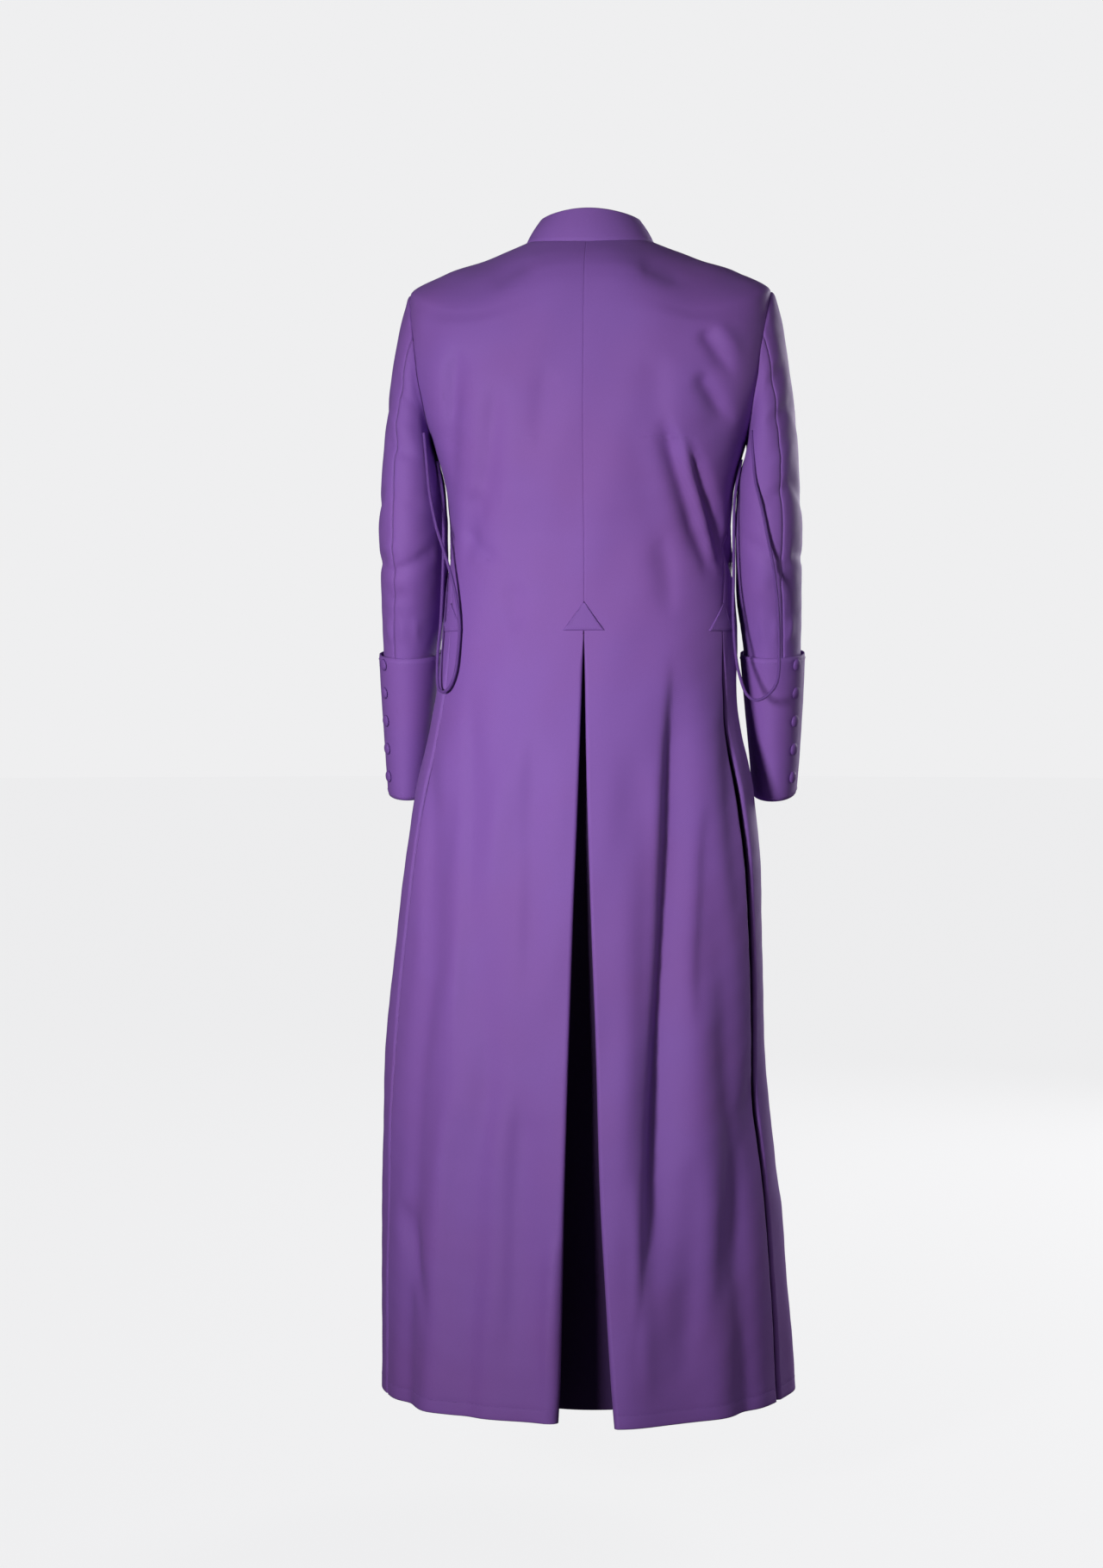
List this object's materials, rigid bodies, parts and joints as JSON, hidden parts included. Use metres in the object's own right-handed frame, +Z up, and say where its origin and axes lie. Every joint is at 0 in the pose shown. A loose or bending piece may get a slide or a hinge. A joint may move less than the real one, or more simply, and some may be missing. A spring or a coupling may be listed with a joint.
{
  "type": "cassock",
  "caption": "Long close-fitting cassock with stand collar, flared pleated skirt, turned-back cuffs and hanging side loops, in worn form, open at neck, cuffs and hem.",
  "frame": {"origin": "middle of the neck opening at the level of the collar's back seam, where the wearer holds it", "axes": "+Z up, +X to the wearer's left, +Y to the wearer's back; the front faces -Y"},
  "size_m": [0.5206, 0.4394, 1.4269],
  "materials": {
    "cloth": "matt twill",
    "button": "cloth-covered",
    "cord": "narrow round cord"
  },
  "bodies": {
    "root": {"back_left": "cloth", "back_right": "cloth", "front_left": "cloth", "front_right": "cloth", "back_pleat": "cloth", "side_pleat_left": "cloth", "side_pleat_right": "cloth", "collar": "cloth", "sleeve_upper_left": "cloth", "sleeve_upper_right": "cloth", "sleeve_under_left": "cloth", "sleeve_under_right": "cloth", "cuff_left": "cloth", "cuff_right": "cloth", "tack_back": "cloth", "tack_left": "cloth", "tack_right": "cloth", "cuff_button_left_1": "button", "cuff_button_left_2": "button", "cuff_button_left_3": "button", "cuff_button_left_4": "button", "cuff_button_left_5": "button", "cuff_button_right_1": "button", "cuff_button_right_2": "button", "cuff_button_right_3": "button", "cuff_button_right_4": "button", "cuff_button_right_5": "button", "front_button_01": "button", "front_button_02": "button", "front_button_03": "button", "front_button_04": "button", "front_button_05": "button", "front_button_06": "button", "front_button_07": "button", "front_button_08": "button", "front_button_09": "button", "front_button_10": "button", "front_button_11": "button", "front_button_12": "button", "front_button_13": "button", "front_button_14": "button", "front_button_15": "button", "front_button_16": "button", "front_button_17": "button", "front_button_18": "button", "front_button_19": "button", "front_button_20": "button", "cincture_loop_left": "cord", "cincture_loop_right": "cord"}
  },
  "joints": []
}
